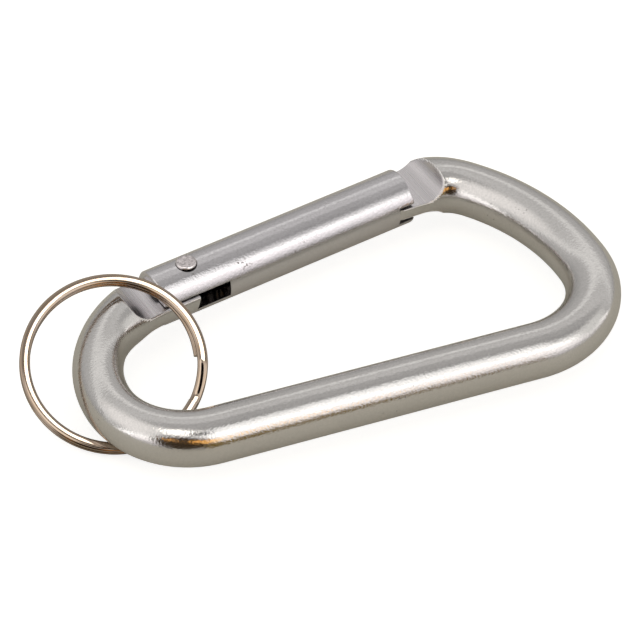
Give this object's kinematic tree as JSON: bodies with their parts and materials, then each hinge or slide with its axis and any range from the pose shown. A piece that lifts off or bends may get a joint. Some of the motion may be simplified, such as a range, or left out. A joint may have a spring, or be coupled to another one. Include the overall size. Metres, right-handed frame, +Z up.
{
  "type": "spring-gate carabiner",
  "caption": "Bent-rod D-shaped accessory carabiner with a sprung inward-opening gate and a split key ring looped over its small bow.",
  "frame": {"origin": "middle of the base of the whole object's box, the carabiner lying on its side with its ring", "axes": "+X along the straight spine from the small bow to the wide bow, +Y across from the spine to the gate, +Z up out of the carabiner's plane"},
  "size_m": [0.0876, 0.0468, 0.0134],
  "materials": {
    "frame_aluminium": "satin",
    "gate_aluminium": "satin",
    "rivet_metal": "peened",
    "plunger_steel": "turned",
    "spring_steel": "drawn wire",
    "nickel_plate": "polished nickel plate"
  },
  "bodies": {
    "frame": {"frame": "frame_aluminium"},
    "gate": {"gate": "gate_aluminium", "pivot_rivet": "rivet_metal", "gate_spring": "spring_steel"},
    "plunger": {"plunger": "plunger_steel"},
    "ring": {"split_ring": "nickel_plate"}
  },
  "joints": [
    {"name": "gate_hinge", "type": "hinge", "parent": "frame", "child": "gate", "pos_m": [-0.01564, 0.01068, 0.00654], "axis": [0, 0, -1], "range_deg": [0, 28], "stiffness_Nm_per_rad": 0.25, "springref_deg": -28.65},
    {"name": "plunger_slide", "type": "slide", "parent": "gate", "child": "plunger", "axis": [0.9799, 0.1994, 0], "range_m": [0, 0.0006], "deforming": ["gate_spring"]},
    {"name": "ring_flip", "type": "hinge", "parent": "frame", "child": "ring", "pos_m": [-0.03049, -0.00131, 0.00669], "axis": [0.9945, -0.1045, 0], "range_deg": [0, 126]}
  ],
  "couplings": [
    {"joint": "plunger_slide", "follows": "gate_hinge", "m_per_rad": 0.0009}
  ]
}
